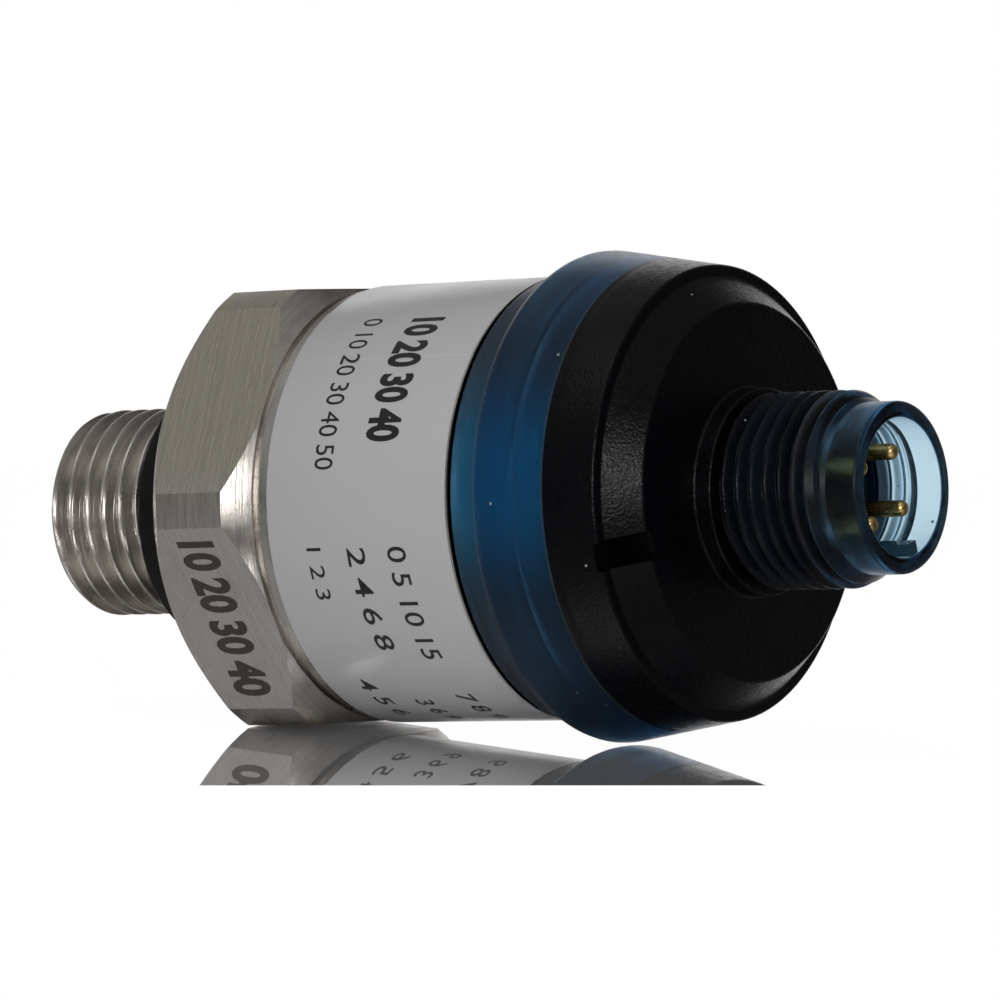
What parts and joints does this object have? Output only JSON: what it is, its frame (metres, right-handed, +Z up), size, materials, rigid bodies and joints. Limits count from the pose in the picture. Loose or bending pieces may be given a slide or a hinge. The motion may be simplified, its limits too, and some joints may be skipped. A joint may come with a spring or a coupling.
{
  "type": "pressure transmitter",
  "caption": "Pressure transmitter with a G 1/4 stud and hexagon, a labelled steel housing and a tapered translucent blue head with a round M12 plug.",
  "frame": {"origin": "on the part's axis, in the plane of the seal collar's rim that meets the port", "axes": "+X along the axis from the stud to the plug, +Z up and square to the upper wrench flat, -Y towards the corner between two flats that faces the viewer"},
  "size_m": [0.0605, 0.0302, 0.0302],
  "materials": {
    "steel": "turned and milled, fine tool marks",
    "seal_rubber": "smooth matt black",
    "label_film": "glossy printed film",
    "head_plastic": "satin spark-eroded moulding, translucent dark blue",
    "carrier_plastic": "glass-filled moulding",
    "contact_gold": "gold-plated, polished",
    "ceramic_white": "lapped",
    "ring_plastic": "machined",
    "board_laminate": "solder resist",
    "chip_plastic": "moulded package",
    "membrane_white": "porous film",
    "lead_metal": "plated wire",
    "capacitor_ceramic": "fired"
  },
  "bodies": {
    "root": {"process_fitting": "steel", "seal_ring": "seal_rubber", "housing_tube": "steel", "label": "label_film", "head_cap": "head_plastic", "contact_carrier": "carrier_plastic", "carrier_o_ring": "seal_rubber", "head_o_ring": "seal_rubber", "vent_membrane": "membrane_white", "cell_body": "ceramic_white", "cell_diaphragm": "ceramic_white", "cell_o_ring": "seal_rubber", "cell_support_ring": "ring_plastic", "clamp_ring": "steel", "cell_leads": "lead_metal", "board_seat_ring": "ring_plastic", "signal_board": "board_laminate", "amplifier_chip": "chip_plastic", "board_spacer": "ring_plastic", "link_pins": "lead_metal", "output_board": "board_laminate", "controller_chip": "chip_plastic", "output_driver": "chip_plastic", "board_capacitors": "capacitor_ceramic", "contact_pin_1": "contact_gold", "contact_pin_2": "contact_gold", "contact_pin_3": "contact_gold", "contact_pin_4": "contact_gold"}
  },
  "joints": []
}
